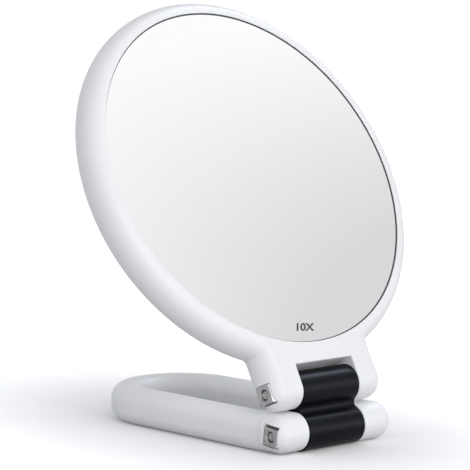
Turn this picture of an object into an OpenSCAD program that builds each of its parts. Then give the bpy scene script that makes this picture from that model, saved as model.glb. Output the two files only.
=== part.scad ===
// Double-sided magnifying hand mirror with a folding loop handle, in millimetres.
// The loop handle lies flat, and a short link carries the round head above it.
// X runs along both hinge axes, the magnifying side faces -Y, and the handle goes back along +Y.
// The origin is under the middle of the whole mirror, on the table.

/* [Glasses] */
// Diameter of both glasses
glass_d = 126; // [116:1:136]
// Thickness of the curved magnifying glass
curved_glass_t = 1.8; // [1.5:0.1:2]
// Thickness of the flat glass
flat_glass_t = 1.8; // [1.5:0.1:2]
// Radius of curvature of the magnifying glass
curve_r = 400; // [390:10:900]
// Depth of both glasses below the lips
glass_recess = 0.8; // [0.6:0.1:1]
// Thickness of the gaskets under the glasses
gasket_t = 0.5; // [0.4:0.1:0.6]

/* [Head shells] */
// Thickness of the ring from front to rear
ring_t = 14; // [13.8:0.1:14.6]
// Width of the lips around the glasses
lip_w = 5.9; // [5.6:0.1:8]
// Rounding of the ring's outer corners
ring_round = 4.7; // [4.4:0.1:5]
// Rounding of the lips' inner edges
lip_round = 0.6; // [0.3:0.1:0.8]
// Wall of the ring's outer skin
skin_t = 2; // [1.7:0.1:2.1]
// Wall that stands around each glass
rim_wall_t = 1.6; // [1.3:0.1:1.8]
// Width of the ledge that carries the magnifying glass
ledge_w = 3; // [2.5:0.1:3.5]
// Thickness of that ledge
ledge_t = 1.6; // [1.2:0.1:2]
// Thickness of the divider plate between the glasses
divider_t = 1.4; // [1:0.1:1.6]
// Number of posts that clamp the divider plate
post_count = 12; // [6:1:18]
// Diameter of those posts
post_d = 2.6; // [2:0.1:2.8]
// Height of the spigots that line up the shells of the head and of the handle
spigot_h = 1.2; // [0.8:0.1:1.6]
// Wall of those spigots
spigot_t = 1; // [0.8:0.1:1.2]

/* [Ears] */
// Width over the head's neck and its two ears
ear_span = 51; // [50:0.2:52]
// Gap between the two ears, at the head and at the handle, which holds the link
ear_gap = 26.6; // [25:0.2:28]
// Thickness of the head's neck and ears from front to rear
neck_t = 13.6; // [13.2:0.1:13.8]
// Rounding of the ears' outer ends
ear_round = 5.2; // [4:0.1:5.6]
// Wall between the slot for the link and the ring's lower edge
slot_wall_t = 0.8; // [0.6:0.1:2]

/* [Link] */
// Diameter of the link's two barrels
barrel_d = 12.8; // [12.4:0.1:13]
// Radius of the hollow waist between the barrels
waist_r = 2; // [1.5:0.1:3]
// Depth to which the waist's hollows cut into the barrels
waist_cut = 0.1; // [0.05:0.05:0.3]
// Wall of the bushes in the barrels
bush_t = 1; // [0.6:0.1:1.4]

/* [Screws and nuts] */
// Diameter of both hinge screws
screw_d = 3.5; // [3:0.1:3.8]
// Diameter of the screw heads
screw_head_d = 6.4; // [6:0.1:7]
// Height of the screw heads
screw_head_t = 2.2; // [1.8:0.1:2.6]
// Width of the cross recess in the screw heads
cross_w = 0.9; // [0.7:0.1:1.1]
// Length of the cross recess
cross_len = 3.6; // [3:0.1:4]
// Depth of the cross recess
cross_depth = 1.2; // [0.8:0.1:1.5]
// Size of the square nuts across the flats
nut_w = 6.3; // [6:0.1:6.6]
// Thickness of the square nuts
nut_t = 2.4; // [2:0.1:3]
// Depth of the nuts and screw heads below the ends of the head's ears
nut_recess = 0.1; // [0.1:0.1:0.5]
// Depth of each screw's end below the nut's face
tip_recess = 0.3; // [0.1:0.1:0.6]
// Turn of the upper nut away from square with the head
upper_nut_turn = 9; // [0:1:45]
// Turn of the lower nut away from square with the handle
lower_nut_turn = 7; // [0:1:45]
// Diameter of the friction washers
friction_washer_d = 10; // [8:0.2:11]
// Thickness of the friction washers
friction_washer_t = 0.5; // [0.3:0.1:0.8]
// Diameter of the spring washers
spring_washer_d = 6.2; // [5.8:0.1:6.8]
// Thickness of the spring washers
spring_washer_t = 0.8; // [0.6:0.1:1.2]
// Width of the split in the spring washers
spring_split = 0.5; // [0.3:0.1:0.8]

/* [Handle] */
// Length of the handle from the lower hinge axis to the loop's end
handle_len = 100.7; // [80:0.1:140]
// Width over the handle's two arms
arm_span = 51.2; // [50:0.2:52]
// Width over the handle's ears, which stand out from the arms
handle_ear_span = 54.4; // [53:0.2:56]
// Height of the handle's section
handle_t = 13.2; // [12.8:0.1:13.4]
// Rounding of the handle's section
handle_round = 5.2; // [4:0.1:5.6]
// Wall of the handle's shells
handle_wall_t = 1.8; // [1.5:0.1:2.2]
// Distance from the lower hinge axis over which the ears keep their full width
ear_hub = 4; // [3.8:0.1:5]
// Distance from the lower hinge axis to the end of the ears' sharp inner edge
ear_reach = 7; // [6.8:0.1:9]
// Length over which the ears blend into the arms
blend_len = 8; // [5:0.5:14]

/* [Pose] */
// Angle at which the link leans back
link_lean = 12; // [8:0.5:13]
// Angle at which the head leans back
head_lean = 28.6; // [10:0.1:40]

/* [Clearances] */
// Gap around each glass in its recess
glass_gap = 0.5; // [0.4:0.05:0.6]
// Gap between the folded head and the handle
fold_gap = 0.3; // [0.3:0.05:0.6]
// Gap between the upper barrel and the slot's ceiling
slot_gap = 1.2; // [1:0.1:1.6]
// Radial play of each screw in its bush
running_gap = 0.06; // [0.03:0.01:0.1]
// Play between the friction washers and the barrels' ends
end_gap = 0.05; // [0.03:0.01:0.1]
// Play of a fixed piece in its seat
seat_gap = 0.1; // [0.06:0.01:0.15]
// Play of a bush in its barrel and of a gasket around its glass
press_gap = 0.04; // [0.02:0.01:0.05]

/* [Hidden] */
$fn = 72;

white = [0.94, 0.95, 0.97];
black = [0.07, 0.08, 0.11];
steel = [0.66, 0.67, 0.68];
mirror_silver = [0.85, 0.87, 0.88];
dark_grey = [0.16, 0.17, 0.19];
natural_nylon = [0.88, 0.88, 0.84];

// Levels in the disc, measured from its middle plane towards the magnifying side
half_t = ring_t / 2;
glass_r = glass_d / 2;
seat_r = glass_r + glass_gap;
rim_wall_r = seat_r + rim_wall_t;
ring_r = seat_r + lip_w;
skin_r = ring_r - skin_t;
corner_r = ring_r - ring_round;
corner_z = half_t - ring_round;
glass_face = half_t - glass_recess;
curve_z = glass_face + sqrt(pow(curve_r, 2) - pow(glass_r, 2));
back_r = curve_r + curved_glass_t;
ledge_r = seat_r - ledge_w;
ledge_top = curve_z - sqrt(pow(back_r, 2) - pow(ledge_r, 2)) - gasket_t;
ledge_low = ledge_top - ledge_t;
divider_face = glass_face - flat_glass_t - gasket_t;
divider_r = corner_r - seat_gap
    + sqrt(pow(ring_round - skin_t, 2) - pow(max(0, divider_face - corner_z), 2));
post_r = seat_r - ledge_w / 2;

ear_inner = ear_gap / 2;
ear_outer = ear_span / 2;
arm_outer = arm_span / 2;
handle_ear_outer = handle_ear_span / 2;
handle_r = handle_t / 2;
neck_r = neck_t / 2;
barrel_r = barrel_d / 2;
slot_top = barrel_r + slot_gap;
disc_z = slot_top + slot_wall_t + ring_r;
neck_top = disc_z - sqrt(pow(corner_r, 2) - pow(ear_outer, 2));

link_pitch = (max(half_t, neck_r) + handle_r + fold_gap) / cos(link_lean);
barrel_half = ear_inner - friction_washer_t - end_gap;
waist_reach = barrel_r + waist_r - waist_cut;
waist_x = sqrt(pow(waist_reach, 2) - pow(link_pitch / 2, 2));
bush_inner_r = screw_d / 2 + running_gap;
bush_outer_r = bush_inner_r + bush_t;
nut_face = ear_outer - nut_recess;
nut_seat = nut_face - nut_t;
head_under = nut_face - screw_head_t;
washer_seat = head_under - spring_washer_t;
recess_r = max(screw_head_d, spring_washer_d) / 2 + seat_gap;

loop_y = handle_len - arm_outer;
arm_y = ear_reach + blend_len;
cavity_inner = ear_inner + handle_wall_t;
cavity_outer = arm_outer - handle_wall_t;
cavity_round = handle_round - handle_wall_t;

upper_y = link_pitch * sin(link_lean);
upper_z = handle_r + link_pitch * cos(link_lean);
origin_y = (handle_len - handle_r) / 2;

// Frames: the lower hinge axis, the link, the upper hinge axis and the disc
module at_handle() { translate([0, -origin_y, handle_r]) children(); }
module at_link() { at_handle() rotate([-link_lean, 0, 0]) children(); }
module at_head() { translate([0, upper_y - origin_y, upper_z]) rotate([-head_lean, 0, 0]) children(); }
module at_disc() { at_head() translate([0, 0, disc_z]) rotate([90, 0, 0]) children(); }

module both_sides() {
    children();
    mirror([1, 0, 0]) children();
}

// A box from x0 to x1 and of height h, with its corners rounded by r0 at x0 and by r1 at x1
module rounded_box(x0, x1, h, r0, r1) {
    translate([x0 + r0, -h / 2]) square([x1 - x0 - r0 - r1, h]);
    translate([x0, r0 - h / 2]) square([r0, h - 2 * r0]);
    translate([x1 - r1, r1 - h / 2]) square([r1, h - 2 * r1]);
    for (s = [-1, 1]) {
        translate([x0 + r0, s * (h / 2 - r0)]) circle(r0);
        translate([x1 - r1, s * (h / 2 - r1)]) circle(r1);
    }
}

// The section of an ear that reaches out to x, with a sharp inner edge
module ear_section(x, h) {
    intersection() {
        rounded_box(0, x, h, ear_round, ear_round);
        translate([ear_inner, -h]) square([x, 2 * h]);
    }
}

// The half of a section that lies on the +Y side of its middle line
module upper_half() {
    intersection() {
        children();
        translate([-handle_ear_outer, 0]) square([handle_ear_span, ring_t]);
    }
}

// A quarter of the round end of an ear on the +X side, turned about the hinge axis
module ear_quarter(x, h, start) {
    rotate([0, 90, 0]) rotate(start) rotate_extrude(angle = 90) intersection() {
        mirror([1, 0, 0]) rotate(90) ear_section(x, h);
        translate([0, ear_inner - 1]) square([h, x]);
    }
}

// What a hinge takes out of the ears: the screw's bore, its head's recess and the nut's pocket
module hinge_cuts(nut_turn) {
    pocket = nut_w + 2 * seat_gap;
    rotate([0, 90, 0]) {
        cylinder(h = 4 * ear_outer, r = screw_d / 2 + seat_gap, center = true);
        translate([0, 0, washer_seat]) cylinder(h = ear_outer, r = recess_r);
    }
    rotate([nut_turn, 0, 0]) translate([-nut_seat - ear_outer, -pocket / 2, -pocket / 2])
        cube([ear_outer, pocket, pocket]);
}

// Half of the ring's section outside the seat, from the joint between the shells up to the lip
module lip_section() {
    intersection() {
        union() {
            translate([seat_r, 0]) square([lip_w, corner_z]);
            translate([seat_r, 0]) square([corner_r - seat_r, half_t - lip_round]);
            translate([seat_r + lip_round, 0]) square([corner_r - seat_r - lip_round, half_t]);
            translate([seat_r + lip_round, half_t - lip_round]) circle(lip_round);
            translate([corner_r, corner_z]) circle(ring_round);
        }
        translate([seat_r, 0]) square([lip_w, half_t]);
    }
}

// The lip's section hollowed to the skin and the rim wall, which starts at wall_low
module ring_section(wall_low) {
    difference() {
        lip_section();
        intersection() {
            union() {
                translate([rim_wall_r, -1]) square([skin_r - rim_wall_r, corner_z + 1]);
                translate([corner_r, corner_z]) circle(ring_round - skin_t);
            }
            translate([rim_wall_r, -1]) square([skin_r - rim_wall_r, half_t]);
        }
        translate([seat_r - 1, -1]) square([rim_wall_t + 1, wall_low + 1]);
    }
}

// The space that the neck leaves free, down to the middle of the ring's walls
module inside_ring() {
    rotate_extrude($fn = 180) {
        translate([0, -1]) square([ring_r - skin_t / 2, corner_z + 1]);
        translate([0, -1]) square([corner_r, half_t - skin_t / 2 + 1]);
        translate([0, -1]) square([seat_r + rim_wall_t / 2, ring_t]);
        intersection() {
            translate([corner_r, corner_z]) circle(ring_round - skin_t / 2);
            translate([0, corner_z]) square(ring_r);
        }
    }
}

// The front half of the neck and ears, from the upper hinge axis up along +Z into the ring
module neck_half() {
    difference() {
        linear_extrude(neck_top) mirror([0, 1, 0]) upper_half()
            rounded_box(-ear_outer, ear_outer, neck_t, ear_round, ear_round);
        translate([-ear_inner, -neck_t, -neck_t]) cube([ear_gap, 2 * neck_t, neck_t + slot_top]);
    }
    both_sides() ear_quarter(ear_outer, neck_t, -90);
}

// One half of the head in the disc's frame, with its ring's section given
module head_half() {
    rotate_extrude($fn = 180) children();
    difference() {
        translate([0, -disc_z, 0]) rotate([-90, 0, 0]) neck_half();
        inside_ring();
    }
}

module head_front_shell() {
    color(white) difference() {
        at_disc() {
            head_half() {
                ring_section(ledge_low);
                translate([ledge_r, ledge_low]) square([seat_r + rim_wall_t / 2 - ledge_r, ledge_t]);
            }
            for (i = [1 : post_count]) rotate(360 * (i - 0.5) / post_count)
                translate([post_r, 0, divider_t - divider_face])
                    cylinder(h = ledge_low + ledge_t / 2 - divider_t + divider_face, d = post_d, $fn = 32);
        }
        at_head() hinge_cuts(upper_nut_turn);
    }
}

module head_rear_shell() {
    spigot_r = skin_r - seat_gap - spigot_t;
    color(white) difference() {
        at_disc() mirror([0, 0, 1]) head_half() {
            ring_section(divider_face);
            translate([spigot_r, -spigot_h]) square([spigot_t, 2 * spigot_h]);
            translate([spigot_r, 0]) square([spigot_t + skin_t / 2, spigot_h]);
        }
        at_head() hinge_cuts(upper_nut_turn);
    }
}

module divider_plate() {
    color(dark_grey) at_disc() translate([0, 0, -divider_face])
        cylinder(h = divider_t, r = divider_r, $fn = 180);
}

// The curved glass bulges towards the divider plate, with the same thickness all over
module magnifying_glass() {
    color(mirror_silver) at_disc() rotate_extrude($fn = 180) intersection() {
        translate([0, curve_z]) difference() {
            circle(back_r, $fn = 1440);
            circle(curve_r, $fn = 1440);
        }
        translate([0, -half_t]) square([glass_r, ring_t]);
    }
}

// Level of the curved glass's back at radius r, less the play of its gasket
function glass_back(r) = curve_z - sqrt(pow(back_r, 2) - pow(r, 2)) - press_gap;

// The thin wall of a gasket that fills the gap around its glass
module gasket_wall(from) {
    translate([glass_r + press_gap, from])
        square([glass_gap - 2 * press_gap, glass_face - lip_round / 2 - from]);
}

module magnifying_glass_gasket() {
    color(dark_grey) at_disc() rotate_extrude($fn = 180) {
        gasket_wall(ledge_top);
        polygon([
            [ledge_r, ledge_top],
            [seat_r - press_gap, ledge_top],
            [seat_r - press_gap, glass_back(glass_r)],
            [glass_r, glass_back(glass_r)],
            [ledge_r, glass_back(ledge_r)]
        ]);
    }
}

module flat_glass() {
    color(mirror_silver) at_disc() translate([0, 0, -glass_face])
        cylinder(h = flat_glass_t, r = glass_r, $fn = 180);
}

module flat_glass_gasket() {
    color(dark_grey) at_disc() mirror([0, 0, 1]) rotate_extrude($fn = 180) {
        gasket_wall(divider_face);
        translate([ledge_r, divider_face]) square([seat_r - press_gap - ledge_r, gasket_t]);
    }
}

// Two barrels joined by a waist that is hollowed from both sides
module link_section() {
    reach = barrel_r / waist_reach;
    difference() {
        union() {
            circle(barrel_r);
            translate([0, link_pitch]) circle(barrel_r);
            translate([-waist_x * reach, link_pitch / 2 * reach])
                square([2 * waist_x * reach, link_pitch * (1 - reach)]);
        }
        for (s = [-1, 1]) translate([s * waist_x, link_pitch / 2]) circle(waist_r);
    }
}

module hinge_link() {
    color(black) at_link() difference() {
        translate([-barrel_half, 0, 0]) rotate([90, 0, 90]) linear_extrude(2 * barrel_half) link_section();
        for (z = [0, link_pitch]) translate([0, 0, z]) rotate([0, 90, 0])
            cylinder(h = ear_span, r = bush_outer_r + press_gap, center = true);
    }
}

module bush() {
    color(steel) rotate([0, 90, 0]) difference() {
        cylinder(h = 2 * barrel_half, r = bush_outer_r, center = true);
        cylinder(h = ear_span, r = bush_inner_r, center = true);
    }
}

module screw() {
    tip = nut_face - tip_recess;
    color(steel) rotate([0, 90, 0]) difference() {
        union() {
            translate([0, 0, -tip]) cylinder(h = tip + head_under + screw_head_t / 2, d = screw_d);
            translate([0, 0, head_under]) cylinder(h = screw_head_t, d = screw_head_d);
        }
        for (turn = [0, 90]) rotate(turn)
            translate([-cross_w / 2, -cross_len / 2, nut_face - cross_depth])
                cube([cross_w, cross_len, screw_head_t]);
    }
}

module square_nut(turn) {
    color(steel) rotate([turn, 0, 0]) translate([-nut_face, 0, 0]) difference() {
        translate([0, -nut_w / 2, -nut_w / 2]) cube([nut_t, nut_w, nut_w]);
        rotate([0, 90, 0]) cylinder(h = 3 * nut_t, r = screw_d / 2 + press_gap, center = true);
    }
}

module spring_washer() {
    color(steel) translate([washer_seat, 0, 0]) rotate([0, 90, 0]) difference() {
        cylinder(h = spring_washer_t, d = spring_washer_d);
        translate([0, 0, -1]) cylinder(h = spring_washer_t + 2, r = screw_d / 2 + seat_gap);
        translate([0, -spring_split / 2, -1]) cube([spring_washer_d, spring_split, spring_washer_t + 2]);
    }
}

module friction_washer() {
    color(natural_nylon) translate([barrel_half + end_gap, 0, 0]) rotate([0, 90, 0]) difference() {
        cylinder(h = friction_washer_t, d = friction_washer_d);
        translate([0, 0, -1]) cylinder(h = friction_washer_t + 2, r = screw_d / 2 + seat_gap);
    }
}

// Sweeps a section, drawn on the +X arm, along both arms and round the loop's end
module along_loop() {
    both_sides() translate([0, loop_y, 0]) rotate([90, 0, 0]) linear_extrude(loop_y - arm_y) children();
    translate([0, loop_y, 0]) rotate_extrude(angle = 180, $fn = 144) children();
}

module arm_section() { rounded_box(ear_inner, arm_outer, handle_t, handle_round, handle_round); }

module slice(y) { translate([0, y, 0]) rotate([90, 0, 0]) linear_extrude(0.01) upper_half() children(); }

// The upper half of the handle in its own frame, which is the lower half turned over
module handle_half() {
    along_loop() upper_half() difference() {
        arm_section();
        rounded_box(cavity_inner, cavity_outer, handle_t - 2 * handle_wall_t, cavity_round, cavity_round);
    }
    both_sides() {
        hull() {
            slice(ear_reach + 0.01) ear_section(arm_outer, handle_t, $fn = 32);
            slice(arm_y) arm_section($fn = 32);
        }
        hull() {
            slice(ear_hub + 0.01) ear_section(handle_ear_outer, handle_t, $fn = 32);
            slice(ear_reach) ear_section(arm_outer, handle_t, $fn = 32);
        }
        translate([0, ear_hub, 0]) rotate([90, 0, 0]) linear_extrude(ear_hub)
            upper_half() ear_section(handle_ear_outer, handle_t);
        ear_quarter(handle_ear_outer, handle_t, 180);
    }
}

module handle_upper_shell() {
    color(white) at_handle() difference() {
        handle_half();
        hinge_cuts(lower_nut_turn);
    }
}

module handle_lower_shell() {
    color(white) at_handle() difference() {
        union() {
            mirror([0, 0, 1]) handle_half();
            along_loop() {
                translate([cavity_inner + seat_gap, -spigot_h]) square([spigot_t, 2 * spigot_h]);
                translate([cavity_inner - handle_wall_t / 2, -spigot_h])
                    square([spigot_t + handle_wall_t / 2, spigot_h]);
                translate([cavity_outer - seat_gap - spigot_t, -spigot_h]) square([spigot_t, 2 * spigot_h]);
                translate([cavity_outer - spigot_t, -spigot_h])
                    square([spigot_t + handle_wall_t / 2, spigot_h]);
            }
        }
        hinge_cuts(lower_nut_turn);
    }
}

head_front_shell();
head_rear_shell();
divider_plate();
magnifying_glass();
magnifying_glass_gasket();
flat_glass();
flat_glass_gasket();
hinge_link();
at_link() translate([0, 0, link_pitch]) bush();  // upper_bush
at_link() bush();  // lower_bush
at_head() screw();  // upper_screw
at_handle() screw();  // lower_screw
at_head() square_nut(upper_nut_turn);  // upper_nut
at_handle() square_nut(lower_nut_turn);  // lower_nut
at_head() spring_washer();  // upper_spring_washer
at_handle() spring_washer();  // lower_spring_washer
at_head() mirror([1, 0, 0]) friction_washer();  // upper_left_friction_washer
at_head() friction_washer();  // upper_right_friction_washer
at_handle() mirror([1, 0, 0]) friction_washer();  // lower_left_friction_washer
at_handle() friction_washer();  // lower_right_friction_washer
handle_upper_shell();
handle_lower_shell();
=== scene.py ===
import math
import bmesh
import bpy
from mathutils import Matrix, Vector


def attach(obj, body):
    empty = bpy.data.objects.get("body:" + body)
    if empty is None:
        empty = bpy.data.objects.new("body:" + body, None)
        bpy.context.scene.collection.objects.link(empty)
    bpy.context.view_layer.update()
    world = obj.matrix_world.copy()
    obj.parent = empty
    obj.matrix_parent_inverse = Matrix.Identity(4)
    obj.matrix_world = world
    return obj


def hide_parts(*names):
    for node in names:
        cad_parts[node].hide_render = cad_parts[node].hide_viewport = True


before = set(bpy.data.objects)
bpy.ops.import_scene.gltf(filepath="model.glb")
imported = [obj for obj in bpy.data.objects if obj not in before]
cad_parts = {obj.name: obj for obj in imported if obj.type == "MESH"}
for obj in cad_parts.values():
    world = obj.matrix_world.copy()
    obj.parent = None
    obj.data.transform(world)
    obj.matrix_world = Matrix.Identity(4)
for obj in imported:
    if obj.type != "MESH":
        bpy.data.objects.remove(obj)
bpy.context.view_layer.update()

print("frame loaded")

# the hinge layout of the CAD part, in millimetres and degrees
hinges = {
    "lowerAxis": Vector((0, -47.05, 6.6)),
    "pitch": 14.2105,  # between the two axes
    "linkLean": 12,  # back from upright, like the next one
    "headLean": 28.6,
    "earInner": 13.3,  # the ears' inner faces, from the middle of the mirror
    "nutSeat": 23.0,
    "nutFace": 25.4,
    "nutOut": 0.25,  # how far a nut stands out past its face in the CAD part
    "pocketGap": 0.14,
    "pocketCorner": 0.35,
    "recessRadius": 3.3,  # round a screw's head
    "recessFloor": 22.4,
    "boreRadius": 1.85,
    "cutReach": 31,  # the cutting tools end out here, clear of the ears
    "boreReach": 40,
    # room round each nut in its pocket: front, back, below, above
    "upperNut": {"turn": 5, "width": 6.6, "room": (0, 0.4, 0.4, 0)},
    "lowerNut": {"turn": 7, "width": 6.3, "room": (0, 0.05, 0.35, 0.8)},
}
discHeight = 77.8  # from the upper hinge axis to the middle of the glass

handlePlace = Matrix.Translation(hinges["lowerAxis"])
linkPlace = handlePlace @ Matrix.Rotation(math.radians(-hinges["linkLean"]), 4, "X")
upperAxis = linkPlace @ Vector((0, 0, hinges["pitch"]))
headPlace = Matrix.Translation(upperAxis) @ Matrix.Rotation(math.radians(-hinges["headLean"]), 4, "X")
discMiddle = headPlace @ Matrix.Translation((0, 0, discHeight))
discPlace = discMiddle @ Matrix.Rotation(math.radians(90), 4, "X")
toMetres = Matrix.Scale(0.001, 4)


# the camera stands where the photo was taken from

cameraLook = {
    "place": (-0.564994, -0.624787, 0.158892),
    "azimuth": -42.18,
    "elevation": 6.06,
    "lens": 182.83,
}


def placeCamera():
    azimuth = math.radians(cameraLook["azimuth"])
    elevation = math.radians(cameraLook["elevation"])
    level = math.cos(elevation)
    back = Vector((math.sin(azimuth) * level, -math.cos(azimuth) * level, math.sin(elevation)))
    right = Vector((math.cos(azimuth), math.sin(azimuth), 0))
    up = back.cross(right)
    turn = Matrix((right, up, back)).transposed().to_4x4()
    camera = bpy.data.cameras.new("photoCamera")
    camera.lens = cameraLook["lens"]
    camera.sensor_width = 36
    camera.clip_start = 0.01
    holder = bpy.data.objects.new("photoCamera", camera)
    holder.matrix_world = Matrix.Translation(cameraLook["place"]) @ turn
    bpy.context.scene.collection.objects.link(holder)
    bpy.context.scene.camera = holder


placeCamera()
print("camera placed")


# materials, whose patterns all lie on object coordinates

def newMaterial(name):
    material = bpy.data.materials.new(name)
    material.use_nodes = True
    tree = material.node_tree
    shader = tree.nodes["Principled BSDF"]
    coords = tree.nodes.new("ShaderNodeTexCoord")
    return material, tree, shader, coords


def stretchedCoords(tree, coords, scale):
    mapping = tree.nodes.new("ShaderNodeMapping")
    mapping.inputs["Scale"].default_value = scale
    tree.links.new(coords.outputs["Object"], mapping.inputs["Vector"])
    return mapping.outputs["Vector"]


def noise(tree, vector, scale, detail=3, roughness=0.5):
    node = tree.nodes.new("ShaderNodeTexNoise")
    node.inputs["Scale"].default_value = scale
    node.inputs["Detail"].default_value = detail
    node.inputs["Roughness"].default_value = roughness
    tree.links.new(vector, node.inputs["Vector"])
    return node.outputs["Fac"]


def blendColours(tree, factor, first, second, low=0.35, high=0.65):
    ramp = tree.nodes.new("ShaderNodeValToRGB")
    ramp.color_ramp.elements[0].position = low
    ramp.color_ramp.elements[0].color = (*first, 1)
    ramp.color_ramp.elements[1].position = high
    ramp.color_ramp.elements[1].color = (*second, 1)
    tree.links.new(factor, ramp.inputs["Fac"])
    return ramp.outputs["Color"]


def spread(tree, factor, low, high):
    # noise lies mostly between 0.3 and 0.7, and fills low to high here
    node = tree.nodes.new("ShaderNodeMapRange")
    node.inputs["From Min"].default_value = 0.3
    node.inputs["From Max"].default_value = 0.7
    node.inputs["To Min"].default_value = low
    node.inputs["To Max"].default_value = high
    tree.links.new(factor, node.inputs["Value"])
    return node.outputs["Result"]


def addBump(tree, shader, height, strength, distance):
    bump = tree.nodes.new("ShaderNodeBump")
    bump.inputs["Strength"].default_value = strength
    bump.inputs["Distance"].default_value = distance
    tree.links.new(height, bump.inputs["Height"])
    tree.links.new(bump.outputs["Normal"], shader.inputs["Normal"])


def makeMouldedPlastic(name):
    look = finishes[name]
    material, tree, shader, coords = newMaterial(name)
    vector = coords.outputs["Object"]
    cloud = noise(tree, vector, look["cloudScale"], 2)
    colour = blendColours(tree, cloud, look["colour"], look["shade"])
    tree.links.new(colour, shader.inputs["Base Color"])
    grain = noise(tree, vector, look["grainScale"], 4, 0.6)
    tree.links.new(spread(tree, grain, *look["roughness"]), shader.inputs["Roughness"])
    addBump(tree, shader, grain, look["grainStrength"], look["grainDepth"])
    shader.inputs["IOR"].default_value = look["ior"]
    return material


def makeMetal(name):
    look = finishes[name]
    material, tree, shader, coords = newMaterial(name)
    cloud = noise(tree, coords.outputs["Object"], look["cloudScale"], 4, 0.6)
    colour = blendColours(tree, cloud, look["colour"], look["shade"])
    tree.links.new(colour, shader.inputs["Base Color"])
    brushed = noise(tree, stretchedCoords(tree, coords, look["brush"]), 1, 4, 0.6)
    tree.links.new(spread(tree, brushed, *look["roughness"]), shader.inputs["Roughness"])
    addBump(tree, shader, brushed, look["brushStrength"], look["brushDepth"])
    shader.inputs["Metallic"].default_value = 1
    return material


def makeMirrorSilver(name):
    look = finishes[name]
    material, tree, shader, coords = newMaterial(name)
    haze = noise(tree, coords.outputs["Object"], look["hazeScale"], 3)
    colour = blendColours(tree, haze, look["colour"], look["shade"])
    tree.links.new(colour, shader.inputs["Base Color"])
    smear = noise(tree, stretchedCoords(tree, coords, look["smear"]), 1, 3)
    tree.links.new(spread(tree, smear, *look["roughness"]), shader.inputs["Roughness"])
    shader.inputs["Metallic"].default_value = 1
    return material


finishes = {
    "whitePlastic": {
        "colour": (0.845, 0.85, 0.861), "shade": (0.825, 0.831, 0.844),
        "cloudScale": 30, "roughness": (0.42, 0.52), "ior": 1.46,
        "grainScale": 1800, "grainStrength": 0.05, "grainDepth": 0.00004,
    },
    "blackPlastic": {
        "colour": (0.0025, 0.0034, 0.0062), "shade": (0.002, 0.0028, 0.0052),
        "cloudScale": 90, "roughness": (0.32, 0.4), "ior": 1.18,
        "grainScale": 2200, "grainStrength": 0.25, "grainDepth": 0.00006,
    },
    "greyPlastic": {
        "colour": (0.2, 0.21, 0.22), "shade": (0.17, 0.18, 0.19),
        "cloudScale": 60, "roughness": (0.5, 0.6), "ior": 1.5,
        "grainScale": 2000, "grainStrength": 0.2, "grainDepth": 0.00006,
    },
    "naturalNylon": {
        "colour": (0.8, 0.79, 0.73), "shade": (0.74, 0.73, 0.66),
        "cloudScale": 160, "roughness": (0.38, 0.5), "ior": 1.53,
        "grainScale": 3000, "grainStrength": 0.15, "grainDepth": 0.00004,
    },
    # dark rubber of the gaskets; the dark ring it gives at each glass's edge is also painted shade for
    # the gap round the glass
    "gasketRubberAndGapShade": {
        "colour": (0.045, 0.046, 0.05), "shade": (0.03, 0.031, 0.034),
        "cloudScale": 200, "roughness": (0.62, 0.78), "ior": 1.52,
        "grainScale": 3500, "grainStrength": 0.3, "grainDepth": 0.00005,
    },
    "markPaint": {
        "colour": (0.012, 0.012, 0.014), "shade": (0.02, 0.02, 0.023),
        "cloudScale": 900, "roughness": (0.45, 0.6), "ior": 1.5,
        "grainScale": 5000, "grainStrength": 0.2, "grainDepth": 0.00002,
    },
    "zincPlate": {
        "colour": (0.36, 0.36, 0.36), "shade": (0.24, 0.24, 0.245),
        "cloudScale": 900, "roughness": (0.3, 0.44),
        "brush": (2500, 260, 2500), "brushStrength": 0.3, "brushDepth": 0.00004,
    },
    # brighter zinc for two sides of each nut: the cut metal's own brightness and a painted highlight
    # for the light those sides catch
    "cutZincAndHighlight": {
        "colour": (0.86, 0.86, 0.87), "shade": (0.74, 0.74, 0.75),
        "cloudScale": 1200, "roughness": (0.26, 0.38),
        "brush": (260, 2500, 2500), "brushStrength": 0.25, "brushDepth": 0.00003,
    },
    "springSteel": {
        "colour": (0.4, 0.4, 0.42), "shade": (0.3, 0.3, 0.32),
        "cloudScale": 700, "roughness": (0.25, 0.4),
        "brush": (400, 2600, 2600), "brushStrength": 0.2, "brushDepth": 0.00003,
    },
    "turnedBrass": {
        "colour": (0.72, 0.55, 0.27), "shade": (0.6, 0.45, 0.2),
        "cloudScale": 500, "roughness": (0.22, 0.36),
        "brush": (4200, 120, 120), "brushStrength": 0.2, "brushDepth": 0.00003,
    },
    "silveredGlass": {
        "colour": (0.975, 0.978, 0.98), "shade": (0.965, 0.969, 0.972),
        "hazeScale": 14, "smear": (30, 90, 90), "roughness": (0.01, 0.03),
    },
}
whitePlastic = makeMouldedPlastic("whitePlastic")
blackPlastic = makeMouldedPlastic("blackPlastic")
greyPlastic = makeMouldedPlastic("greyPlastic")
naturalNylon = makeMouldedPlastic("naturalNylon")
gasketRubberAndGapShade = makeMouldedPlastic("gasketRubberAndGapShade")
markPaint = makeMouldedPlastic("markPaint")
zincPlate = makeMetal("zincPlate")
cutZincAndHighlight = makeMetal("cutZincAndHighlight")
springSteel = makeMetal("springSteel")
turnedBrass = makeMetal("turnedBrass")
silveredGlass = makeMirrorSilver("silveredGlass")
print("materials made")


# mesh helpers, which draw in millimetres

def vertsOf(geom):
    return [g for g in geom if isinstance(g, bmesh.types.BMVert)]


def edgesOf(geom):
    return [g for g in geom if isinstance(g, bmesh.types.BMEdge)]


def lineTo(bm, vert, step, parts=1):
    # draws a straight line from vert, as edges
    out = bmesh.ops.spin(bm, geom=[vert], cent=(0, 0, 0), axis=(0, 0, 1), dvec=Vector(step) / parts,
                         angle=0, steps=parts, use_merge=False)
    return vertsOf(out["geom_last"])[0]


def arcTo(bm, vert, centre, axis, angle, parts):
    # draws an arc from vert, as edges
    out = bmesh.ops.spin(bm, geom=[vert], cent=centre, axis=axis, angle=math.radians(angle),
                         steps=parts, use_merge=False)
    return vertsOf(out["geom_last"])[0]


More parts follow.
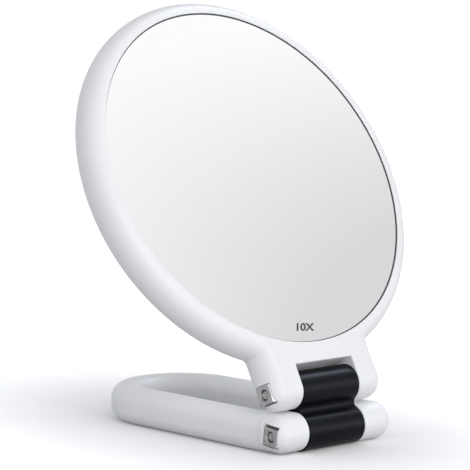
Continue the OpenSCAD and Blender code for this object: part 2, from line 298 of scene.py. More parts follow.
def slideEdges(bm, geom, step, parts=1):
    # drags edges along a straight path
    out = bmesh.ops.spin(bm, geom=geom, cent=(0, 0, 0), axis=(0, 0, 1), dvec=Vector(step) / parts,
                         angle=0, steps=parts, use_merge=False)
    return out["geom_last"]


def turnEdges(bm, geom, centre, axis, angle, parts):
    # drags edges round a circular path
    out = bmesh.ops.spin(bm, geom=geom, cent=centre, axis=axis, angle=math.radians(angle),
                         steps=parts, use_merge=False)
    return out["geom_last"]


def turnFull(bm, axis, parts):
    # spins everything once round the axis and closes the poles
    bmesh.ops.spin(bm, geom=bm.verts[:] + bm.edges[:], cent=(0, 0, 0), axis=axis,
                   angle=math.radians(360), steps=parts, use_merge=True)
    bmesh.ops.remove_doubles(bm, verts=bm.verts[:], dist=0.0005)


def withVerts(edges):
    # the edges and each of their vertices once
    return edges + list(dict.fromkeys(v for e in edges for v in e.verts))


def mirrorAll(bm, axis):
    # adds the other side and closes the seam
    bmesh.ops.mirror(bm, geom=bm.verts[:] + bm.edges[:] + bm.faces[:], matrix=Matrix.Identity(4),
                     merge_dist=0.001, axis=axis)
    bmesh.ops.remove_doubles(bm, verts=bm.verts[:], dist=0.001)


def fillFlat(bm, coordinate, level):
    # closes every open border that lies in one plane
    edges = [e for e in bm.edges if e.is_boundary
             and all(abs(v.co[coordinate] - level) < 0.001 for v in e.verts)]
    bmesh.ops.triangle_fill(bm, use_beauty=True, edges=edges)


def bevelEdges(bm, edges, width, parts=3):
    bmesh.ops.bevel(bm, geom=edges, affect="EDGES", offset=width, offset_type="OFFSET", segments=parts,
                    profile=0.5, material=-1, clamp_overlap=True)


def sharpEdges(bm, angle=60):
    return [e for e in bm.edges if len(e.link_faces) == 2 and e.calc_face_angle() > math.radians(angle)]


def meshFrom(bm, name, place):
    bmesh.ops.recalc_face_normals(bm, faces=bm.faces[:])
    bm.transform(toMetres @ place)
    mesh = bpy.data.meshes.new(name)
    bm.to_mesh(mesh)
    bm.free()
    return mesh


def addObject(name, mesh):
    piece = bpy.data.objects.new(name, mesh)
    bpy.context.scene.collection.objects.link(piece)
    return piece


def cutAway(piece, tools):
    # takes each tool out of the piece, then drops the tool
    for tool in tools:
        cutter = piece.modifiers.new("cut", "BOOLEAN")
        cutter.operation = "DIFFERENCE"
        cutter.solver = "EXACT"
        cutter.object = tool
        bpy.context.view_layer.update()
        shown = piece.evaluated_get(bpy.context.evaluated_depsgraph_get())
        mesh = bpy.data.meshes.new_from_object(shown)
        piece.modifiers.clear()
        oldMesh = piece.data
        piece.data = mesh
        mesh.name = oldMesh.name
        bpy.data.meshes.remove(oldMesh)
        bpy.data.objects.remove(tool)


def finishPiece(piece, body, material, nodes, smoothAngle=35, weighted=True):
    mesh = piece.data
    mesh.materials.clear()
    mesh.materials.append(material)
    mesh.shade_smooth()
    mesh.set_sharp_from_angle(angle=math.radians(smoothAngle))
    if weighted:
        modifier = piece.modifiers.new("evenNormals", "WEIGHTED_NORMAL")
        modifier.keep_sharp = True
        modifier.weight = 60
    if nodes:
        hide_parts(*nodes)
    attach(piece, body)


# what each hinge takes out of its ears

def squareTool(name, place, turn, low, high, width, room):
    bm = bmesh.new()
    bmesh.ops.create_cube(bm, size=1)
    bmesh.ops.scale(bm, vec=(high - low, width, width), verts=bm.verts[:])
    front, back, below, above = room
    bmesh.ops.translate(bm, vec=(0, -front, 0), verts=[v for v in bm.verts if v.co.y < 0])
    bmesh.ops.translate(bm, vec=(0, back, 0), verts=[v for v in bm.verts if v.co.y > 0])
    bmesh.ops.translate(bm, vec=(0, 0, -below), verts=[v for v in bm.verts if v.co.z < 0])
    bmesh.ops.translate(bm, vec=(0, 0, above), verts=[v for v in bm.verts if v.co.z > 0])
    corners = [e for e in bm.edges if abs(e.verts[0].co.x - e.verts[1].co.x) > 1]
    bevelEdges(bm, corners, hinges["pocketCorner"])
    bmesh.ops.translate(bm, vec=((low + high) / 2, 0, 0), verts=bm.verts[:])
    return addObject(name, meshFrom(bm, name, place @ Matrix.Rotation(math.radians(turn), 4, "X")))


def roundTool(name, place, low, high, radius):
    bm = bmesh.new()
    bmesh.ops.create_cone(bm, cap_ends=True, segments=48, radius1=radius, radius2=radius,
                          depth=high - low)
    lieDown = Matrix.Rotation(math.radians(90), 4, "Y")
    bm.transform(Matrix.Translation(((low + high) / 2, 0, 0)) @ lieDown)
    return addObject(name, meshFrom(bm, name, place))


def hingeTools(place, held):
    s = hinges
    width = held["width"] + 2 * s["pocketGap"]
    pocket = squareTool("pocketTool", place, held["turn"], -s["cutReach"], -s["nutSeat"], width,
                        held["room"])
    bore = roundTool("boreTool", place, -s["boreReach"], s["boreReach"], s["boreRadius"])
    recess = roundTool("recessTool", place, s["recessFloor"], s["cutReach"], s["recessRadius"])
    return [pocket, bore, recess]


# head shells: ear, neck and ring swept from one section

headShell = {
    "ringRadius": 69.4,
    "halfThick": 7.0,
    "earHalfThick": 6.8,
    "rearEarHalfThick": 6.6,  # leaves room over the handle when the head is folded down
    "nutEarEnd": 6.1,
    "screwEarEnd": 6.5,
    "sideWidth": 5.3,
    "sideCurve": 2.15,  # 2 is an ellipse, more is squarer
    "seatRadius": 63.5,
    "lipRound": 0.25,
    "neckHalf": 25.5,
    "slotTop": 7.3,  # the slot between the ears ends here, above the hinge axis
    "fillet": 0.7,
    "slotEdge": 0.55,
    "sideSteps": 16,
    "earSteps": 14,
    "ringSteps": 72,
    "lipSteps": 90,
}


def makeHeadHalf(name, rear):
    s = headShell
    neck = s["neckHalf"]
    inner = hinges["earInner"]
    bm = bmesh.new()

    # section of one ear at the hinge axis: round outer side, front, slot wall
    vert = bm.verts.new((neck, 0, 0))
    for step in range(1, s["sideSteps"] + 1):
        turn = math.radians(90 * step / s["sideSteps"])
        x = neck - s["sideWidth"] * (1 - max(0, math.cos(turn)) ** (2 / s["sideCurve"]))
        y = -s["halfThick"] * math.sin(turn) ** (2 / s["sideCurve"])
        vert = lineTo(bm, vert, (x - vert.co.x, y - vert.co.y, 0))
    vert = lineTo(bm, vert, (inner - vert.co.x, 0, 0), 2)
    vert = lineTo(bm, vert, (0, s["halfThick"], 0), 2)
    section = bm.verts[:] + bm.edges[:]
    outerX = neck - s["sideWidth"] - 0.001

    # round end of the ear, then up to the slot's ceiling
    turnEdges(bm, section, (0, 0, 0), (1, 0, 0), 90, s["earSteps"])
    top = slideEdges(bm, section, (0, 0, s["slotTop"]), 4)
    wallTop = [e for e in edgesOf(top) if all(abs(v.co.x - inner) < 0.001 for v in e.verts)]
    slideEdges(bm, withVerts(wallTop), (-inner, 0, 0))

    # outer side only: up the neck, round the fillet and round the ring to its top
    outer = [e for e in edgesOf(top) if all(v.co.x > outerX for v in e.verts)]
    filletX = neck + s["fillet"]
    reach = s["ringRadius"] + s["fillet"]
    filletZ = discHeight - math.sqrt(reach * reach - filletX * filletX)
    geom = slideEdges(bm, withVerts(outer), (0, 0, filletZ - s["slotTop"]), 2)
    lean = math.degrees(math.atan2(filletX, discHeight - filletZ))
    geom = turnEdges(bm, geom, (filletX, 0, filletZ), (0, 1, 0), 90 - lean, 6)
    turnEdges(bm, geom, (0, 0, discHeight), (0, 1, 0), lean - 180, s["ringSteps"])

    # lip round the glass, and the wall of its seat
    lip = s["lipRound"]
    vert = bm.verts.new((0, 0, discHeight - s["seatRadius"]))
    vert = lineTo(bm, vert, (0, lip - s["halfThick"], 0))
    arcTo(bm, vert, (0, lip - s["halfThick"], discHeight - s["seatRadius"] - lip), (1, 0, 0), 90, 4)
    chain = [e for e in bm.edges if e.is_wire]
    turnEdges(bm, withVerts(chain), (0, 0, discHeight), (0, 1, 0), -180, s["lipSteps"])

    bmesh.ops.remove_doubles(bm, verts=bm.verts[:], dist=0.001)
    mirrorAll(bm, "X")
    fillFlat(bm, 1, -s["halfThick"])
    fillFlat(bm, 1, 0)
    bmesh.ops.recalc_face_normals(bm, faces=bm.faces[:])

    # soft edges round the slot
    edges = [e for e in sharpEdges(bm)
             if all(abs(v.co.x) < inner + 0.01 and v.co.z < s["slotTop"] + 0.01 for v in e.verts)
             and any(abs(v.co.y) > 0.01 for v in e.verts)]
    bevelEdges(bm, edges, s["slotEdge"], 4)

    # the ears are a little thinner than the ring, and their ends a little blunt
    keep = (s["rearEarHalfThick"] if rear else s["earHalfThick"]) / s["halfThick"]
    for v in bm.verts:
        if v.co.z < 0:
            end = s["nutEarEnd"] if v.co.x < 0 else s["screwEarEnd"]
            v.co.z *= end / s["halfThick"]
            v.co.y *= keep
        elif v.co.z < s["slotTop"]:
            v.co.y *= keep + (1 - keep) * v.co.z / s["slotTop"]
    if rear:
        bmesh.ops.scale(bm, vec=(1, -1, 1), verts=bm.verts[:])
    piece = addObject(name, meshFrom(bm, name, headPlace))
    cutAway(piece, hingeTools(headPlace, hinges["upperNut"]))
    return piece


headFront = makeHeadHalf("head_front", False)
finishPiece(headFront, "head", whitePlastic, ["head_front_shell"])
headRear = makeHeadHalf("head_rear", True)
finishPiece(headRear, "head", whitePlastic, ["head_rear_shell"])
print("head shells made")


# handle shells: one section round the loop and along the arms

handleShell = {
    "length": 100.7,  # from the hinge axis to the loop's end
    "armInner": 13.3,
    "armOuter": 25.6,
    "earOuter": 27.6,
    "nutEarOuter": 26.0,
    "nutEarFrom": 2,  # that ear is drawn in from this far off the arm's inner side
    "earFront": 6.6,
    "halfHeight": 6.6,
    "rounding": 5.2,
    "slotEdge": 0.55,
    "earHub": 4,  # the ear has its full width from the axis to here
    "earReach": 7,  # and loses it by here
    "armStart": 15,  # the arm's own section starts here
    "nutEarLift": 0.5,
    "screwEarLift": 0.15,
    "liftReach": 9,
    "earSteps": 14,
    "loopSteps": 40,
}


def smoothStep(value):
    value = min(1, max(0, value))
    return value * value * (3 - 2 * value)


def shapeEar(vert):
    # turns the arm's section into the ear's near the hinge
    s = handleShell
    y = vert.co.y
    if y >= s["armStart"]:
        return
    x, z = vert.co.x, vert.co.z
    flat = s["halfHeight"] - s["rounding"]
    centreX = s["armInner"] + s["rounding"]
    share = smoothStep((s["armStart"] - y) / (s["armStart"] - s["earReach"]))
    radius = s["rounding"] + (s["slotEdge"] - s["rounding"]) * share
    if x < centreX + 0.001:
        turn = math.atan2(z - flat, x - centreX) if z > flat + 0.001 else math.pi
        vert.co.x = s["armInner"] + radius + radius * math.cos(turn)
        if z > flat - 0.001:
            vert.co.z = s["halfHeight"] - radius + radius * math.sin(turn)
    elif x > s["armOuter"] - s["rounding"] - 0.001:
        out = smoothStep((s["earReach"] - y) / (s["earReach"] - s["earHub"]))
        vert.co.x += out * (s["earOuter"] - s["armOuter"])


def makeHandleHalf(name, lower):
    s = handleShell
    flat = s["halfHeight"] - s["rounding"]
    loopY = s["length"] - s["armOuter"]
    bm = bmesh.new()
    start = bm.verts.new((s["armOuter"], loopY, 0))
    vert = lineTo(bm, start, (0, 0, flat))
    vert = arcTo(bm, vert, (s["armOuter"] - s["rounding"], loopY, flat), (0, 1, 0), -90, 10)
    vert = lineTo(bm, vert, (s["armInner"] - s["armOuter"] + 2 * s["rounding"], 0, 0))
    vert = arcTo(bm, vert, (s["armInner"] + s["rounding"], loopY, flat), (0, 1, 0), -90, 10)
    vert = lineTo(bm, vert, (0, 0, -flat))
    bm.edges.new((vert, start))
    section = bm.verts[:] + bm.edges[:]

    # round the loop's end, then along the arm to the hinge axis
    turnEdges(bm, section, (0, loopY, 0), (0, 0, 1), 90, s["loopSteps"])
    geom = slideEdges(bm, section, (0, s["armStart"] - loopY, 0), 12)
    geom = slideEdges(bm, geom, (0, s["earReach"] - s["armStart"], 0), 12)
    geom = slideEdges(bm, geom, (0, s["earHub"] - s["earReach"], 0), 8)
    geom = slideEdges(bm, geom, (0, -s["earHub"], 0), 3)
    endEdges = edgesOf(geom)
    for v in bm.verts:
        shapeEar(v)

    # round end of the ear
    around = [e for e in endEdges if any(abs(v.co.z) > 0.001 for v in e.verts)]
    turnEdges(bm, withVerts(around), (0, 0, 0), (1, 0, 0), 90, s["earSteps"])
    bmesh.ops.remove_doubles(bm, verts=bm.verts[:], dist=0.001)
    bmesh.ops.dissolve_degenerate(bm, edges=bm.edges[:], dist=0.0005)
    fillFlat(bm, 2, 0)
    mirrorAll(bm, "X")
    if lower:
        bmesh.ops.scale(bm, vec=(1, 1, -1), verts=bm.verts[:])

    # the ear on the nut's side is a little shorter, and both sit a little higher than the arms
    first = s["armInner"] + s["nutEarFrom"]
    last = s["armOuter"] - s["rounding"]
    for v in bm.verts:
        if v.co.x < 0:
            outward = min(1, max(0, (-v.co.x - first) / (last - first)))
            near = smoothStep((s["earReach"] - v.co.y) / (s["earReach"] - s["earHub"]))
            v.co.x += outward * near * (s["earOuter"] - s["nutEarOuter"])
        lift = s["nutEarLift"] if v.co.x < 0 else s["screwEarLift"]
        v.co.z += lift * smoothStep((s["liftReach"] - v.co.y) / (s["liftReach"] - s["earHub"]))
        if v.co.y < 0:
            v.co.y *= s["earFront"] / s["halfHeight"]
    piece = addObject(name, meshFrom(bm, name, handlePlace))
    cutAway(piece, hingeTools(handlePlace, hinges["lowerNut"]))
    return piece


handleUpper = makeHandleHalf("handle_upper", False)
finishPiece(handleUpper, "handle", whitePlastic, ["handle_upper_shell"])
handleLower = makeHandleHalf("handle_lower", True)
finishPiece(handleLower, "handle", whitePlastic, ["handle_lower_shell"])
print("handle shells made")


# glasses and gaskets, turned round the middle of the head

glass = {
    "radius": 63.2,
    "curveRadius": 400,
    "thick": 1.8,
    "face": 6.2,  # the glass's front edge, from the head's middle plane
    "edge": 0.15,
    "steps": 160,
}
gasket = {
    "inner": 63.24,
    "outer": 63.48,
    "top": 6.55,
    "floor": 3.0,
}


def curveCentre():
    # how far in front of the head's middle the magnifying glass has the centre of its curve
    return glass["face"] + math.sqrt(glass["curveRadius"] ** 2 - glass["radius"] ** 2)


def makeMagnifyingGlass():
    s = glass
    bm = bmesh.new()
    curveZ = curveCentre()
    rim = s["radius"] - s["edge"]
    sweep = math.degrees(math.asin(rim / s["curveRadius"]))
    vert = bm.verts.new((0, 0, curveZ - s["curveRadius"]))
    vert = arcTo(bm, vert, (0, 0, curveZ), (0, 1, 0), -sweep, 24)
    vert = lineTo(bm, vert, (s["edge"], 0, s["face"] - s["edge"] - vert.co.z))
    backRadius = s["curveRadius"] + s["thick"]
    backZ = curveZ - math.sqrt(backRadius ** 2 - s["radius"] ** 2)
    vert = lineTo(bm, vert, (0, 0, backZ - vert.co.z))
    sweep = math.degrees(math.asin(s["radius"] / backRadius))
    arcTo(bm, vert, (0, 0, curveZ), (0, 1, 0), sweep, 12)
    turnFull(bm, (0, 0, 1), s["steps"])
    return addObject("magnifier", meshFrom(bm, "magnifier", discPlace))


def makeFlatGlass():
    s = glass
    bm = bmesh.new()
    vert = bm.verts.new((0, 0, -s["face"]))
    vert = lineTo(bm, vert, (s["radius"] - s["edge"], 0, 0), 3)
    vert = lineTo(bm, vert, (s["edge"], 0, s["edge"]))
    vert = lineTo(bm, vert, (0, 0, s["thick"] - s["edge"]))
    lineTo(bm, vert, (-s["radius"], 0, 0))
    turnFull(bm, (0, 0, 1), s["steps"])
    return addObject("plain_mirror", meshFrom(bm, "plain_mirror", discPlace))


def makeGasket(name, side):
    s = gasket
    width = s["outer"] - s["inner"]
    bm = bmesh.new()
    start = bm.verts.new((s["inner"], 0, s["floor"]))
    vert = lineTo(bm, start, (0, 0, s["top"] - width / 2 - s["floor"]))
    vert = arcTo(bm, vert, (s["inner"] + width / 2, 0, s["top"] - width / 2), (0, 1, 0), 180, 6)
    vert = lineTo(bm, vert, (0, 0, s["floor"] - s["top"] + width / 2))
    bm.edges.new((vert, start))
    turnFull(bm, (0, 0, 1), glass["steps"])
    bmesh.ops.scale(bm, vec=(1, 1, side), verts=bm.verts[:])
    return addObject(name, meshFrom(bm, name, discPlace))


magnifier = makeMagnifyingGlass()
finishPiece(magnifier, "head", silveredGlass, ["magnifying_glass"], 20)
plainMirror = makeFlatGlass()
finishPiece(plainMirror, "head", silveredGlass, ["flat_glass"], 20)
# the gaskets' dark rings also paint the shade of the gap round each glass
frontGasket = makeGasket("magnifier_gasket", 1)
finishPiece(frontGasket, "head", gasketRubberAndGapShade, ["magnifying_glass_gasket"])
rearGasket = makeGasket("plain_mirror_gasket", -1)
finishPiece(rearGasket, "head", gasketRubberAndGapShade, ["flat_glass_gasket"])
print("glasses and gaskets made")


# printed mark on the magnifying glass, a plain number for how much it enlarges

mark = {
    "text": "10X",
    "height": 3.1,
    "widen": 1.22,
    "fromCentre": 57.5,
    "sideways": -1.6,
    "lift": 0.025,  # off the glass
    "thick": 0.004,  # this and the next are shares of the letters' size
    "bold": 0.03,
    "turn": -6,
    "slant": 25,
}


def makeMark():
    s = mark
    curve = bpy.data.curves.new("mark", "FONT")
    curve.body = s["text"]
    curve.size = 1
    curve.align_x = "CENTER"
    curve.align_y = "CENTER"
    curve.extrude = s["thick"]
    curve.offset = s["bold"]
    holder = bpy.data.objects.new("markText", curve)
    bpy.context.scene.collection.objects.link(holder)
    bpy.context.view_layer.update()
    shown = holder.evaluated_get(bpy.context.evaluated_depsgraph_get())
    mesh = bpy.data.meshes.new_from_object(shown)
    bpy.data.objects.remove(holder)
    lows = [min(v.co[i] for v in mesh.vertices) for i in range(3)]
    highs = [max(v.co[i] for v in mesh.vertices) for i in range(3)]
    middle = Vector([(a + b) / 2 for a, b in zip(lows, highs)])
    size = s["height"] / (highs[1] - lows[1])
    bm = bmesh.new()
    bm.from_mesh(mesh)
    bpy.data.meshes.remove(mesh)
    # joins the letters' faces and sides, so that all of them point outwards
    bmesh.ops.remove_doubles(bm, verts=bm.verts[:], dist=0.0001)
    bm.transform(Matrix.Translation((s["sideways"], -s["fromCentre"], s["lift"]))
                 @ Matrix.Rotation(math.radians(s["turn"]), 4, "Z")
                 @ Matrix.Shear("XZ", 4, (math.tan(math.radians(s["slant"])), 0))
                 @ Matrix.Diagonal((size * s["widen"], size, size, 1)) @ Matrix.Translation(-middle))
    # lays the letters on the curved glass
    for v in bm.verts:
        v.co.z += curveCentre() - math.sqrt(glass["curveRadius"] ** 2 - v.co.xy.length_squared)
    return addObject("mark", meshFrom(bm, "mark", discPlace))


markPiece = makeMark()
finishPiece(markPiece, "head", markPaint, [], 30, False)
print("mark made")


# link with its two barrels

link = {
    "barrelRadius": 6.57,
    "halfLength": 13.15,
    "waistRadius": 2.0,
    "endRound": 0.2,
    "bore": 2.85,
    "washerSeat": 5.2,
    "washerFace": 12.78,
    "cutReach": 20,  # the cutting tools end out here, past the barrels
}


def makeLink():
    s = link
    pitch = hinges["pitch"]
    reach = s["barrelRadius"] + s["waistRadius"]
    waistY = math.sqrt(reach ** 2 - (pitch / 2) ** 2)
    angle = math.degrees(math.atan2(pitch / 2, waistY))
    bm = bmesh.new()
    vert = bm.verts.new((-s["halfLength"], 0, -s["barrelRadius"]))
    vert = arcTo(bm, vert, (vert.co.x, 0, 0), (1, 0, 0), 90 + angle, 24)
    vert = arcTo(bm, vert, (vert.co.x, waistY, pitch / 2), (1, 0, 0), -2 * angle, 12)
    arcTo(bm, vert, (vert.co.x, 0, pitch), (1, 0, 0), 90 + angle, 24)
    mirrorAll(bm, "Y")
    face = bmesh.ops.contextual_create(bm, geom=bm.edges[:])["faces"]
    out = bmesh.ops.extrude_face_region(bm, geom=face)
    bmesh.ops.translate(bm, vec=(2 * s["halfLength"], 0, 0), verts=vertsOf(out["geom"]))
    bmesh.ops.recalc_face_normals(bm, faces=bm.faces[:])
    bevelEdges(bm, sharpEdges(bm), s["endRound"], 4)
    piece = addObject("link", meshFrom(bm, "link", linkPlace))
    reach = s["cutReach"]
    for place in (linkPlace, linkPlace @ Matrix.Translation((0, 0, pitch))):
        cutAway(piece, [roundTool("linkBore", place, -reach, reach, s["bore"]),
                        roundTool("rightSeat", place, s["washerFace"], reach, s["washerSeat"]),
                        roundTool("leftSeat", place, -reach, -s["washerFace"], s["washerSeat"])])
    return piece


linkPiece = makeLink()
finishPiece(linkPiece, "link", blackPlastic, ["hinge_link"], 30)
print("link made")


# nuts and screws

nut = {
    "thick": 2.6,
    "hole": 1.79,
    "corner": 0.3,
    "edge": 0.16,
    "mouth": 0.35,
    "sideParts": 12,
}
screw = {
    "radius": 1.75,
    "headRadius": 3.2,
    "headHeight": 2.2,
    "headRound": 0.7,
    "tip": 25.0,
    "tipBevel": 0.45,
    "dimple": 0.7,
    "dimpleRadius": 1.0,
    "crossWidth": 0.9,
    "crossLength": 3.6,
    "crossDepth": 1.2,
    "crossTaper": (1, 0.5, 0.4),
    "crossTurn": 20,
    "steps": 48,
}


def makeNut(name, place, held):
    s = nut
    bm = bmesh.new()
    outline = bmesh.ops.create_circle(bm, segments=4, radius=held["width"] / math.sqrt(2))["verts"]
    bmesh.ops.rotate(bm, verts=outline, matrix=Matrix.Rotation(math.radians(45), 3, "Z"))
    bmesh.ops.subdivide_edges(bm, edges=bm.edges[:], cuts=s["sideParts"] - 1)
    bmesh.ops.create_circle(bm, segments=4 * s["sideParts"], radius=s["hole"])
    bmesh.ops.bridge_loops(bm, edges=bm.edges[:])
    block = bmesh.ops.extrude_face_region(bm, geom=bm.faces[:])
    bmesh.ops.translate(bm, vec=(0, 0, s["thick"]), verts=vertsOf(block["geom"]))
    bmesh.ops.recalc_face_normals(bm, faces=bm.faces[:])
    corners = [e for e in sharpEdges(bm) if abs(e.verts[0].co.z - e.verts[1].co.z) > 1]
    bevelEdges(bm, corners, s["corner"], 3)
    rims = [e for e in sharpEdges(bm) if abs(e.verts[0].co.z - e.verts[1].co.z) < 0.01]
    mouths = [e for e in rims if e.verts[0].co.xy.length < s["hole"] + 0.1]
    sides = [e for e in rims if e.verts[0].co.xy.length > s["hole"] + 0.5]
    bevelEdges(bm, sides, s["edge"], 2)
    bevelEdges(bm, [e for e in mouths if e.is_valid], s["mouth"], 1)
    # its face looks along -X
    stand = (place @ Matrix.Rotation(math.radians(held["turn"]), 4, "X")
             @ Matrix.Translation((-hinges["nutFace"] - hinges["nutOut"], 0, 0))
             @ Matrix.Rotation(math.radians(90), 4, "Y"))
    return addObject(name, meshFrom(bm, name, stand))


def paintSideHighlight(piece, place, held):
    # two sides of a nut, those facing front and back, get a brighter zinc: the cut sides are brighter
    # than its rolled sides and stamped faces, and the extra brightness is also a painted highlight
    piece.data.materials.append(cutZincAndHighlight)
    side = (place @ Matrix.Rotation(math.radians(held["turn"]), 4, "X")).to_3x3() @ Vector((0, 1, 0))
    for face in piece.data.polygons:
        if abs(face.normal.dot(side)) > 0.8 and face.area > 2e-7:  # in square metres
            face.material_index = 1


def makeScrew(name, place):
    s = screw
    face = hinges["nutFace"]
    under = face - s["headHeight"]
    bm = bmesh.new()
    # half the outline, from the dimple in the tip along the shank to the middle of the head
    vert = bm.verts.new((-s["tip"] + s["dimple"], 0, 0))
    vert = lineTo(bm, vert, (-s["dimple"], 0, s["dimpleRadius"]), 2)
    vert = lineTo(bm, vert, (0, 0, s["radius"] - s["tipBevel"] - s["dimpleRadius"]))
    vert = lineTo(bm, vert, (s["tipBevel"], 0, s["tipBevel"]))
    vert = lineTo(bm, vert, (s["tip"] - s["tipBevel"] + under, 0, 0), 8)
    vert = lineTo(bm, vert, (0, 0, s["headRadius"] - s["radius"]))
    vert = lineTo(bm, vert, (s["headHeight"] - s["headRound"], 0, 0))
    edge = (face - s["headRound"], 0, s["headRadius"] - s["headRound"])
    vert = arcTo(bm, vert, edge, (0, 1, 0), 90, 6)
    lineTo(bm, vert, (0, 0, s["headRound"] - s["headRadius"]), 3)
    turnFull(bm, (1, 0, 0), s["steps"])
    piece = addObject(name, meshFrom(bm, name, place))
    tools = []
    crossSize = (2 * s["crossDepth"], s["crossWidth"], s["crossLength"])
    for turn in (s["crossTurn"], s["crossTurn"] + 90):
        tool = bmesh.new()
        bmesh.ops.create_cube(tool, size=1)
        bmesh.ops.scale(tool, vec=crossSize, verts=tool.verts[:])
        deep = [v for v in tool.verts if v.co.x < 0]
        bmesh.ops.scale(tool, vec=s["crossTaper"], verts=deep)
        stand = place @ Matrix.Translation((face, 0, 0)) @ Matrix.Rotation(math.radians(turn), 4, "X")
        tools.append(addObject("crossTool", meshFrom(tool, "crossTool", stand)))
    cutAway(piece, tools)
    return piece


upperNut = makeNut("square_nut_upper", headPlace, hinges["upperNut"])
finishPiece(upperNut, "head", zincPlate, ["upper_nut"], 30)
paintSideHighlight(upperNut, headPlace, hinges["upperNut"])
lowerNut = makeNut("square_nut_lower", handlePlace, hinges["lowerNut"])
finishPiece(lowerNut, "handle", zincPlate, ["lower_nut"], 30)
paintSideHighlight(lowerNut, handlePlace, hinges["lowerNut"])
upperScrew = makeScrew("hinge_screw_upper", headPlace)
finishPiece(upperScrew, "head", zincPlate, ["upper_screw"], 30)
lowerScrew = makeScrew("hinge_screw_lower", handlePlace)
finishPiece(lowerScrew, "handle", zincPlate, ["lower_screw"], 30)
print("nuts and screws made")


# the CAD nodes that stay, inside the head and the hinges

stays = {
    "divider_plate": greyPlastic,
    "upper_bush": turnedBrass,
    "lower_bush": turnedBrass,
    "upper_spring_washer": springSteel,
    "lower_spring_washer": springSteel,
    "upper_left_friction_washer": naturalNylon,
    "upper_right_friction_washer": naturalNylon,
    "lower_left_friction_washer": naturalNylon,
    "lower_right_friction_washer": naturalNylon,
}
for node, material in stays.items():
    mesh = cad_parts[node].data
    mesh.materials.clear()
    mesh.materials.append(material)
print("inner parts dressed")


# floor, world and lamps

studio = {
    "floorSize": 6,
    "floorColour": (0.93, 0.93, 0.93),
    "floorBounce": (0.55, 0.55, 0.555),  # what the floor throws back on the mirror
    # the seen floor also glows, by glowNear inside glowFrom and rising to glowFar at glowTo,
    # both in metres from the middle, and glowShape makes them an oval; the weak glow near the
    # object paints a pale shade round it
    "glowNear": 0.06,
    "glowFar": 0.58,
    "glowFrom": 0.055,
    "glowTo": 0.2,
    "glowShape": (1.9, 1.2, 1),
    # the sky that lights the mirror
    "skySide": (0.955, 0.977, 1.02),
    "skyTop": (0.34, 0.345, 0.365),
    # the sky that gloss and glass show, dark on one side, with one soft patch of light
    "shineFrom": (-0.152, -0.04, -0.988),
    "shineLow": -0.724,
    "shineHigh": -0.553,
    "shineDark": (0.71, 0.71, 0.71),
    "shineLight": (1, 1, 1),
    "boxFrom": (0.668, -0.73, 0.12),
    "boxReach": 20,
    "boxStrength": 4,
    "boxColour": (0.86, 0.93, 1.14),
    "lampTarget": (0, 0, 0.06),
    "keyPlace": (-0.36, -1.28, 0.5),
    "keySize": 0.9,
    "keyPower": 9.5,
    "keyColour": (1, 0.99, 0.975),
    "shinePlace": (1.336, 0.155, 1.47),  # this lamp shows in gloss only
    "shineSize": 0.85,
    "shinePower": 14,
}


def raySwitch(tree, names):
    # 1 for the named kinds of ray, 0 for the others
    path = tree.nodes.new("ShaderNodeLightPath")
    result = path.outputs[names[0]]
    for name in names[1:]:
        larger = tree.nodes.new("ShaderNodeMath")
        larger.operation = "MAXIMUM"
        tree.links.new(result, larger.inputs[0])
        tree.links.new(path.outputs[name], larger.inputs[1])
        result = larger.outputs[0]
    return result


def mixShaders(tree, factor, first, second):
    mix = tree.nodes.new("ShaderNodeMixShader")
    tree.links.new(factor, mix.inputs[0])
    tree.links.new(first, mix.inputs[1])
    tree.links.new(second, mix.inputs[2])
    return mix.outputs[0]


def makeFloor():
    s = studio
    bm = bmesh.new()
    bmesh.ops.create_grid(bm, x_segments=4, y_segments=4, size=s["floorSize"] / 2)
    mesh = bpy.data.meshes.new("floor")
    bm.to_mesh(mesh)
    bm.free()
    floor = addObject("floor", mesh)
    material = bpy.data.materials.new("paleFloor")
    material.use_nodes = True
    tree = material.node_tree
    tree.nodes.clear()
    surface = tree.nodes.new("ShaderNodeBsdfDiffuse")
    surface.inputs["Color"].default_value = (*s["floorColour"], 1)
    bounce = tree.nodes.new("ShaderNodeBsdfDiffuse")
    bounce.inputs["Color"].default_value = (*s["floorBounce"], 1)
    coords = tree.nodes.new("ShaderNodeTexCoord")
    distance = tree.nodes.new("ShaderNodeVectorMath")
    distance.operation = "LENGTH"
    oval = tree.nodes.new("ShaderNodeMapping")
    oval.inputs["Scale"].default_value = s["glowShape"]
    # the glow is weak near the object and strong far off: painted shade round the object
    fade = tree.nodes.new("ShaderNodeMapRange")
    fade.inputs["From Min"].default_value = s["glowFrom"]
    fade.inputs["From Max"].default_value = s["glowTo"]
    fade.inputs["To Min"].default_value = s["glowNear"]
    fade.inputs["To Max"].default_value = s["glowFar"]
    glow = tree.nodes.new("ShaderNodeEmission")
    both = tree.nodes.new("ShaderNodeAddShader")
    output = tree.nodes.new("ShaderNodeOutputMaterial")
    tree.links.new(coords.outputs["Object"], oval.inputs["Vector"])
    tree.links.new(oval.outputs["Vector"], distance.inputs[0])
    tree.links.new(distance.outputs["Value"], fade.inputs["Value"])
    tree.links.new(fade.outputs["Result"], glow.inputs["Strength"])
    tree.links.new(surface.outputs[0], both.inputs[0])
    tree.links.new(glow.outputs[0], both.inputs[1])
    seen = raySwitch(tree, ["Is Camera Ray", "Is Glossy Ray", "Is Transmission Ray"])
    tree.links.new(mixShaders(tree, seen, bounce.outputs[0], both.outputs[0]), output.inputs["Surface"])
    mesh.materials.append(material)


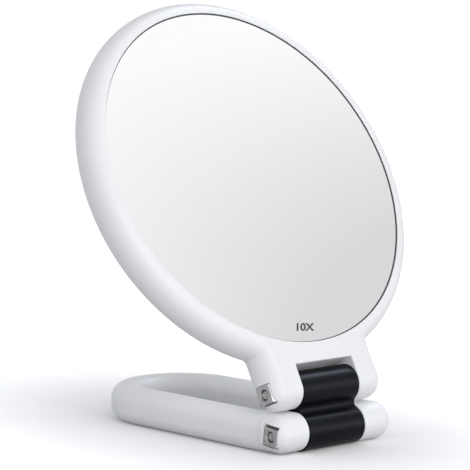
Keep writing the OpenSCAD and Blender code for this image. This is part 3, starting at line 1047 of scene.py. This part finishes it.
def fadedSky(tree, coords, axis, low, high, first, second):
    along = tree.nodes.new("ShaderNodeVectorMath")
    along.operation = "DOT_PRODUCT"
    along.inputs[1].default_value = Vector(axis).normalized()
    shift = tree.nodes.new("ShaderNodeMapRange")
    shift.inputs["From Min"].default_value = low
    shift.inputs["From Max"].default_value = high
    strength = max(max(first), max(second))
    ramp = tree.nodes.new("ShaderNodeValToRGB")
    ramp.color_ramp.elements[0].color = (*[c / strength for c in first], 1)
    ramp.color_ramp.elements[1].color = (*[c / strength for c in second], 1)
    sky = tree.nodes.new("ShaderNodeBackground")
    sky.inputs["Strength"].default_value = strength
    tree.links.new(coords.outputs["Generated"], along.inputs[0])
    tree.links.new(along.outputs["Value"], shift.inputs["Value"])
    tree.links.new(shift.outputs["Result"], ramp.inputs["Fac"])
    tree.links.new(ramp.outputs["Color"], sky.inputs["Color"])
    return sky.outputs[0]


def softBox(tree, coords):
    # a round patch of light in the sky, soft out to its reach in degrees
    s = studio
    along = tree.nodes.new("ShaderNodeVectorMath")
    along.operation = "DOT_PRODUCT"
    along.inputs[1].default_value = Vector(s["boxFrom"]).normalized()
    fade = tree.nodes.new("ShaderNodeMapRange")
    fade.interpolation_type = "SMOOTHSTEP"
    fade.inputs["From Min"].default_value = math.cos(math.radians(s["boxReach"]))
    fade.inputs["From Max"].default_value = 1
    fade.inputs["To Max"].default_value = s["boxStrength"]
    patch = tree.nodes.new("ShaderNodeBackground")
    patch.inputs["Color"].default_value = (*s["boxColour"], 1)
    tree.links.new(coords.outputs["Generated"], along.inputs[0])
    tree.links.new(along.outputs["Value"], fade.inputs["Value"])
    tree.links.new(fade.outputs["Result"], patch.inputs["Strength"])
    return patch.outputs[0]


def makeWorld():
    s = studio
    world = bpy.data.worlds.new("studio")
    bpy.context.scene.world = world
    world.use_nodes = True
    tree = world.node_tree
    tree.nodes.clear()
    coords = tree.nodes.new("ShaderNodeTexCoord")
    ambient = fadedSky(tree, coords, (0, 0, 1), 0, 1, s["skySide"], s["skyTop"])
    shine = fadedSky(tree, coords, s["shineFrom"], s["shineLow"], s["shineHigh"],
                     s["shineDark"], s["shineLight"])
    both = tree.nodes.new("ShaderNodeAddShader")
    tree.links.new(shine, both.inputs[0])
    tree.links.new(softBox(tree, coords), both.inputs[1])
    white = tree.nodes.new("ShaderNodeBackground")
    white.inputs["Color"].default_value = (1, 1, 1, 1)
    glossy = raySwitch(tree, ["Is Glossy Ray", "Is Transmission Ray"])
    lit = mixShaders(tree, glossy, ambient, both.outputs[0])
    seen = raySwitch(tree, ["Is Camera Ray"])
    output = tree.nodes.new("ShaderNodeOutputWorld")
    tree.links.new(mixShaders(tree, seen, lit, white.outputs[0]), output.inputs["Surface"])


def addLamp(name, shape, place, size, power, colour):
    lamp = bpy.data.lights.new(name, "AREA")
    lamp.shape = shape
    lamp.size = size
    lamp.energy = power
    lamp.color = colour
    holder = bpy.data.objects.new(name, lamp)
    direction = Vector(studio["lampTarget"]) - Vector(place)
    turn = direction.to_track_quat("-Z", "Y").to_matrix().to_4x4()
    holder.matrix_world = Matrix.Translation(place) @ turn
    bpy.context.scene.collection.objects.link(holder)
    return holder


makeFloor()
makeWorld()
addLamp("keyLamp", "SQUARE", studio["keyPlace"], studio["keySize"], studio["keyPower"],
        studio["keyColour"])
shineLamp = addLamp("shineLamp", "DISK", studio["shinePlace"], studio["shineSize"],
                    studio["shinePower"], studio["boxColour"])
shineLamp.visible_diffuse = False
bpy.context.scene.view_settings.view_transform = "Standard"
print("floor and lamps placed")
